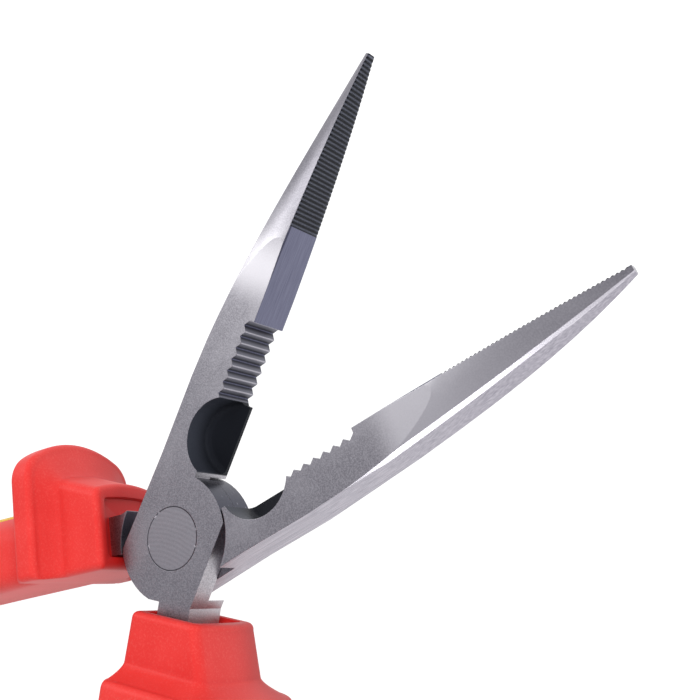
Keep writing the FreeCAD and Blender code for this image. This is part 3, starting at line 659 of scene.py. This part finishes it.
@dataclass
class Handle:
    """Line that a handle follows: straight, then bent inward."""

    opening: float = 40.26
    splay: float = 15.5
    bend_s: float = 57.0
    bend_r: float = 140.0
    half: float = 4.1

    def frame(self, side: Side, distance: float) -> Matrix:
        """Place across the handle, in metres.

        Args:
            side: Which handle.
            distance: Millimetres down the handle from the rivet.

        Returns:
            Matrix whose x runs to the palm, y along the rivet and z down the handle.
        """
        beyond = max(distance - self.bend_s, 0.0) / self.bend_r
        s = min(distance, self.bend_s) + self.bend_r * math.sin(beyond)
        w = -self.bend_r * (1 - math.cos(beyond))
        turn = math.radians(self.splay - 90)
        base = Vector((s * math.cos(turn) - w * math.sin(turn),
                       s * math.sin(turn) + w * math.cos(turn), 0.0))
        down = turn - beyond
        along = Vector((math.cos(down), math.sin(down), 0.0))
        palm = Vector((-math.sin(down), math.cos(down), 0.0))
        place = Matrix((palm, Vector((0, 0, 1)), along)).transposed().to_4x4()
        place.translation = base * MM
        spin = Matrix.Rotation(side.value * math.radians(self.opening / 2), 4, "Z")
        lift = Matrix.Translation((0, 0, self.half * MM))
        flip = Matrix.Scale(side.value, 4, Vector((1, 0, 0)))
        return lift @ spin @ flip @ place


@dataclass
class Grip:
    """Red moulded grip: squared collar, flare, finger guard and a long body."""

    handle: Handle
    collar_s: float = 12.23
    collar: Section = Section(3.0, 12.32, 8.16, 2.12, 1.28, 26.2)
    neck_s: float = 20.53
    neck: Section = Section(3.0, 15.09, 8.32, 2.2, 1.28, 26.2)
    guard_s: float = 23.09
    guard_width: float = 4.8
    guard: Section = Section(3.0, 21.87, 12.96, 5.4, 1.28, 20.34)
    rim: float = 1.28
    collar_round: float = 1.14
    mouth_depth: float = 1.22
    mouth: Section = Section(0.9, 9.59, 6.04, 0.72, 0.72, 52.4)
    length: float = 122.0
    heel_round: float = 3.5
    root: float = 0.35
    inlay_half: float = 5.38
    inlay_s: float = 28.96
    inlay_end: float = 104.9
    inlay_depth: float = 0.9

    def __post_init__(self) -> None:
        """List the key sections of the body behind the guard."""
        self.body_keys = [
            (self.guard_s + self.guard_width / 2,
             Section(2.85, 11.49, 9.31, 5.77, 2.98, 10.69)),
            (43.92, Section(3.0, 11.61, 9.31, 5.77, 3.72, 10.8)),
            (80.52, Section(3.24, 12.56, 9.6, 5.95, 4.99, 11.68)),
            (109.8, Section(2.1, 11.26, 9.02, 5.6, 5.4, 10.47)),
            (122.0, Section(1.05, 9.95, 8.26, 5.12, 3.78, 9.26)),
        ]

    def body_section(self, distance: float) -> Section:
        """Section of the long body, which changes smoothly.

        Args:
            distance: Millimetres down the handle from the rivet.

        Returns:
            The section there.
        """
        keys = self.body_keys
        distance = min(max(distance, keys[0][0]), keys[-1][0])
        for i in range(len(keys) - 1):
            (a, first), (b, last) = keys[i], keys[i + 1]
            if distance <= b:
                share = (distance - a) / (b - a)
                before = keys[max(i - 1, 0)]
                after = keys[min(i + 2, len(keys) - 1)]
                sizes = []
                for k in range(6):
                    p0, p1 = first.sizes()[k], last.sizes()[k]
                    m0 = (p1 - before[1].sizes()[k]) / max(b - before[0], 1e-6) * (b - a)
                    m1 = (after[1].sizes()[k] - p0) / max(after[0] - a, 1e-6) * (b - a)
                    u, v = share, share * share
                    w = v * share
                    sizes.append(p0 * (2 * w - 3 * v + 1) + m0 * (w - 2 * v + u)
                                 + p1 * (3 * v - 2 * w) + m1 * (w - v))
                return Section(*sizes)
        return keys[-1][1]

    def rings(self) -> list[tuple[float, Section, bool]]:
        """Every ring of the outer skin from the collar rim to the heel.

        Returns:
            Distance down the handle, section and whether the inlay groove is open there.
        """
        rows: list[tuple[float, Section, bool]] = []
        steps = 8
        for i in range(steps + 1):
            a = math.pi / 2 * i / steps
            rows.append((self.collar_s + self.collar_round * (1 - math.cos(a)),
                         self.collar.inset(self.collar_round * (1 - math.sin(a))), False))
        for i in range(1, 12):
            share = i / 12
            rows.append((self.collar_s + self.collar_round
                         + (self.neck_s - self.collar_s - self.collar_round) * share,
                         self.collar.mixed(self.neck, share), False))
        lip = Section(self.guard.inside, self.guard.palm - self.rim,
                      self.guard.half - self.rim, self.guard.corner, self.guard.crease,
                      self.guard.bulge)
        for i in range(13):
            share = i / 12
            ease = share ** 1.7 if share < 1 else 1.0
            rows.append((self.neck_s + (self.guard_s - self.neck_s) * share,
                         self.neck.mixed(lip, ease), False))
        for i in range(1, steps + 1):
            a = math.pi / 2 * i / steps
            inset = self.rim * (1 - math.sin(a))
            rows.append((self.guard_s + self.rim * (1 - math.cos(a)),
                         Section(self.guard.inside, self.guard.palm - inset,
                                 self.guard.half - inset, self.guard.corner,
                                 self.guard.crease, self.guard.bulge), False))
        back = self.guard_s + self.guard_width
        start = self.body_section(back)
        wall = replace(self.guard.inset(self.rim), inside=start.inside)
        for i in range(steps + 1):
            a = math.pi / 2 * i / steps
            turned = self.guard.inset(self.rim * (1 - math.cos(a)))
            inside = max(turned.inside, start.inside)
            rows.append((back - self.rim * (1 - math.sin(a)),
                         replace(turned, inside=inside), False))
        for i in range(1, 9):
            rows.append((back + self.root * math.sin(math.pi / 2 * i / 8),
                         wall.mixed(start, i / 8), False))
        rows.append((self.inlay_s, self.body_section(self.inlay_s), False))
        count = 90
        for i in range(count + 1):
            s = self.inlay_s + (self.inlay_end - self.inlay_s) * i / count
            rows.append((s + (0.001 if i == 0 else -0.001 if i == count else 0.0),
                         self.body_section(s), True))
        rows.append((self.inlay_end, self.body_section(self.inlay_end), False))
        for i in range(1, 9):
            s = self.inlay_end + (self.length - self.heel_round - self.inlay_end) * i / 8
            rows.append((s, self.body_section(s), False))
        for i in range(1, 13):
            a = math.pi / 2 * i / 12
            s = self.length - self.heel_round * (1 - math.sin(a))
            rows.append((s, self.body_section(s).inset(self.heel_round * (1 - math.cos(a))),
                         False))
        return rows

    def build(self, side: Side) -> bpy.types.Object:
        """Model the grip of one handle.

        Args:
            side: Which handle.

        Returns:
            The grip, in the place of the frame's plain solid.
        """
        mesh = bmesh.new()

        def loop(distance: float, section: Section, groove: bool) -> list[bmesh.types.BMVert]:
            """One closed ring of the skin."""
            place = self.handle.frame(side, distance)
            flat = section.points(self.inlay_half)
            centre = section.palm - section.bulge
            verts = []
            for i, (u, v) in enumerate(flat):
                if groove and GROOVE_FIRST < i < GROOVE_FIRST + INLAY_POINTS:
                    radius = math.hypot(u - centre, v)
                    shrink = (radius - self.inlay_depth) / radius
                    u, v = centre + (u - centre) * shrink, v * shrink
                verts.append(mesh.verts.new(place @ Vector((u * MM, v * MM, 0))))
            return verts

        rings = [loop(*row) for row in self.rings()]
        lead = []
        floor_s = self.collar_s + self.mouth_depth
        lead.append(loop(floor_s, self.mouth.inset(0.25), False))
        lead.append(loop(floor_s - 0.1, self.mouth.inset(0.06), False))
        lead.append(loop(self.collar_s + 0.35, self.mouth, False))
        lead.append(loop(self.collar_s + 0.1, self.mouth.inset(-0.1), False))
        lead.append(loop(self.collar_s, self.mouth.inset(-0.35), False))
        rings = lead + rings
        count = len(rings[0])
        for a, b in zip(rings, rings[1:]):
            for i in range(count):
                j = (i + 1) % count
                mesh.faces.new((a[i], a[j], b[j], b[i]))
        for ring, distance in ((rings[0], floor_s), (rings[-1], self.length)):
            middle = sum((v.co for v in ring), Vector()) / count
            hub = mesh.verts.new(middle)
            for i in range(count):
                mesh.faces.new((ring[i], ring[(i + 1) % count], hub))
        bmesh.ops.recalc_face_normals(mesh, faces=mesh.faces)
        return settle(mesh, "grip_" + side.word + "_moulded", 42.0)


@dataclass
class Inlay:
    """Yellow palm inlay with soft edges, lying in the groove of its grip."""

    grip: Grip
    gap: float = 0.12
    round_edge: float = 0.45

    def build(self, side: Side) -> bpy.types.Object:
        """Model the inlay of one handle.

        Args:
            side: Which handle.

        Returns:
            The inlay as a closed piece.
        """
        mesh = bmesh.new()
        g = self.grip
        along = 96
        across = 28
        start, end = g.inlay_s + self.gap, g.inlay_end - self.gap
        top: list[list[bmesh.types.BMVert]] = []
        bottom: list[list[bmesh.types.BMVert]] = []
        for i in range(along + 1):
            share = i / along
            s = start + (end - start) * share
            section = g.body_section(s)
            place = g.handle.frame(side, s)
            centre = section.palm - section.bulge
            edge = math.asin(g.inlay_half / section.bulge) - self.gap / section.bulge
            near_end = min(s - start, end - s)
            upper, lower = [], []
            for j in range(across + 1):
                turn = -edge + 2 * edge * j / across
                near_side = (edge - abs(turn)) * section.bulge
                near = min(near_end, near_side)
                drop = self.round_edge * (1 - math.sqrt(
                    max(1 - (1 - min(near / self.round_edge, 1.0)) ** 2, 0.0)))
                for rank, radius in ((upper, section.bulge - drop * 0.8),
                                     (lower, section.bulge - g.inlay_depth)):
                    rank.append(mesh.verts.new(place @ Vector((
                        (centre + radius * math.cos(turn)) * MM,
                        radius * math.sin(turn) * MM, 0))))
            top.append(upper)
            bottom.append(lower)
        for i in range(along):
            for j in range(across):
                mesh.faces.new((top[i][j], top[i][j + 1], top[i + 1][j + 1], top[i + 1][j]))
                mesh.faces.new((bottom[i][j], bottom[i + 1][j], bottom[i + 1][j + 1],
                                bottom[i][j + 1]))
        for i in range(along):
            for j in (0, across):
                mesh.faces.new((top[i][j], top[i + 1][j], bottom[i + 1][j], bottom[i][j]))
        for j in range(across):
            for i in (0, along):
                mesh.faces.new((top[i][j], bottom[i][j], bottom[i][j + 1], top[i][j + 1]))
        bmesh.ops.recalc_face_normals(mesh, faces=mesh.faces)
        return settle(mesh, "inlay_" + side.word + "_moulded", 50.0)


def settle(mesh: bmesh.types.BMesh, name: str, sharp: float) -> bpy.types.Object:
    """Turn a mesh under construction into a shaded object.

    Args:
        mesh: The mesh; it is freed.
        name: Name of the object.
        sharp: Edges that turn more than this many degrees stay sharp.

    Returns:
        The object, linked to the scene.
    """
    data = bpy.data.meshes.new(name)
    for edge in mesh.edges:
        edge.smooth = len(edge.link_faces) != 2 or edge.calc_face_angle(0) < math.radians(sharp)
    for face in mesh.faces:
        face.smooth = True
    mesh.to_mesh(data)
    mesh.free()
    thing = bpy.data.objects.new(name, data)
    bpy.context.scene.collection.objects.link(thing)
    return thing


# ------------------------------------------------------------------ studio


@dataclass(frozen=True)
class Softbox:
    """A square lamp that lights the pliers from one direction."""

    name: str
    toward: tuple[float, float, float]
    distance: float
    size: float
    watts: float
    colour: str = "#FFFFFF"
    mirrored: bool = True

    def place(self, aim: Vector) -> None:
        """Hang the lamp.

        Args:
            aim: Point in metres that it faces.
        """
        data = bpy.data.lights.new(self.name, "AREA")
        data.size = self.size
        data.energy = self.watts
        data.color = linear(self.colour)[:3]
        lamp = bpy.data.objects.new(self.name, data)
        lamp.visible_glossy = self.mirrored
        way = Vector(self.toward).normalized()
        lamp.location = aim + way * self.distance
        lamp.rotation_euler = way.to_track_quat("Z", "Y").to_euler()
        bpy.context.scene.collection.objects.link(lamp)


@dataclass
class Studio:
    """Pale light table, soft lamps and the camera.

    The floor is opal acrylic lit from below. To the eye: an even white round the pliers.
    """

    floor_half: float = 3.0
    floor_glow: float = 1.0
    floor_tone: str = "#707070"
    floor_cloud: str = "#767676"
    floor_grain: float = 400.0
    room: str = "#BDBCC3"
    room_light: float = 0.85
    lens: float = 59.93
    sensor: float = 36.0
    camera_place: tuple[float, float, float] = (0.096094, 0.084991, 0.159858)
    camera_back: tuple[float, float, float] = (0.50387, 0.22222, 0.83471)
    camera_up: tuple[float, float, float] = (-0.62021, 0.76567, 0.17054)
    lamp_aim: tuple[float, float, float] = (0.0, 0.03, 0.004)
    lamps: tuple[Softbox, ...] = (
        Softbox("key_softbox", (0.1, 0.55, 0.8), 0.9, 0.7, 6.0, mirrored=False),
        Softbox("left_softbox", (-0.75, -0.07, 0.645), 0.8, 0.22, 0.9),
        Softbox("right_softbox", (0.86, -0.45, 0.22), 0.9, 0.3, 1.05),
    )

    def floor(self, height: float) -> None:
        """Lay the pale floor, whose glow does not tint the undersides of the pliers.

        Args:
            height: Height of the floor in metres.
        """
        mesh = bmesh.new()
        bmesh.ops.create_grid(mesh, x_segments=1, y_segments=1, size=self.floor_half)
        bmesh.ops.translate(mesh, verts=mesh.verts, vec=(0, 0, height))
        thing = settle(mesh, "pale_floor", 30.0)
        r = Recipe("opal_acrylic_floor")
        cloud = r.noise(self.floor_grain, detail=2.0)
        tone = r.blend(cloud, linear(self.floor_tone), linear(self.floor_cloud))
        r.finish(Base_Color=tone, Roughness=0.8, Emission_Color=(1, 1, 1, 1),
                 Emission_Strength=self.floor_glow)
        thing.data.materials.append(r.material)
        thing.visible_diffuse = False
        thing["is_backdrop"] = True

    def air(self) -> None:
        """Fill the room with even light."""
        world = bpy.data.worlds.new("studio_air")
        bpy.context.scene.world = world
        world.use_nodes = True
        ground = world.node_tree.nodes["Background"]
        ground.inputs["Color"].default_value = linear(self.room)
        ground.inputs["Strength"].default_value = self.room_light

    def camera(self) -> None:
        """Set the camera at its place over the jaws."""
        data = bpy.data.cameras.new("studio_camera")
        data.lens = self.lens
        data.sensor_width = self.sensor
        thing = bpy.data.objects.new("studio_camera", data)
        bpy.context.scene.collection.objects.link(thing)
        back = Vector(self.camera_back).normalized()
        right = Vector(self.camera_up).cross(back).normalized()
        place = Matrix((right, back.cross(right), back)).transposed().to_4x4()
        place.translation = Vector(self.camera_place)
        thing.matrix_world = place
        bpy.context.scene.camera = thing

    def build(self, lowest: float) -> None:
        """Set up the whole studio.

        Args:
            lowest: Height of the floor in metres.
        """
        self.floor(lowest)
        self.air()
        aim = Vector(self.lamp_aim)
        for lamp in self.lamps:
            lamp.place(aim)
        self.camera()
        bpy.context.scene.view_settings.view_transform = "Standard"


# ------------------------------------------------------------------ the pliers


@dataclass
class Pliers:
    """The whole tool: frame nodes that are dressed and grips that are rebuilt."""

    nodes: dict[str, bpy.types.Object]
    handle: Handle

    def dress(self, node: str, material: bpy.types.Material) -> None:
        """Put a finish on a frame node.

        Args:
            node: Name of the node.
            material: The finish.
        """
        thing = self.nodes[node]
        for slot in thing.material_slots:
            slot.material = material
        LOG.info("dressed %s with %s", node, material.name)

    def steelwork(self) -> None:
        """Finish both levers and the rivet."""
        steel = GroundSteel(self.handle.opening)
        for side in Side:
            self.dress("lever_" + side.word, steel.material(side))
        self.dress("pivot_rivet", GroundRivet().material())

    def plastics(self) -> None:
        """Build and finish grips, inlays and sleeves."""
        red = MouldedPlastic("moulded_elastomer_red", "#F33A33", "#ED312A").material()
        yellow = MouldedPlastic("moulded_elastomer_yellow", "#F8CF33", "#F2C32A",
                                tint="#FFE070", shade="#D9A520").material()
        lining = MouldedPlastic("moulded_lining_yellow", "#E9BE34", "#DDB02B",
                                tint="#F4D05A", shade="#6A5216").material()
        grip = Grip(self.handle)
        inlay = Inlay(grip)
        for side in Side:
            for maker, word, skin in ((grip, "grip", red), (inlay, "inlay", yellow)):
                piece = maker.build(side)
                piece.data.materials.append(skin)
                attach(piece, side.body)
                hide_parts(word + "_" + side.word)
                LOG.info("built %s", piece.name)
            self.dress("sleeve_" + side.word, lining)


def main() -> None:
    """Build the pliers and their studio around the frame."""
    logging.basicConfig(level=logging.INFO, format="%(name)s: %(message)s")
    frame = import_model()
    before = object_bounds()
    pliers = Pliers(frame["nodes"], Handle())
    pliers.steelwork()
    pliers.plastics()
    lowest = before[0][2]
    Studio().build(lowest)


if __name__ == "__main__":
    main()
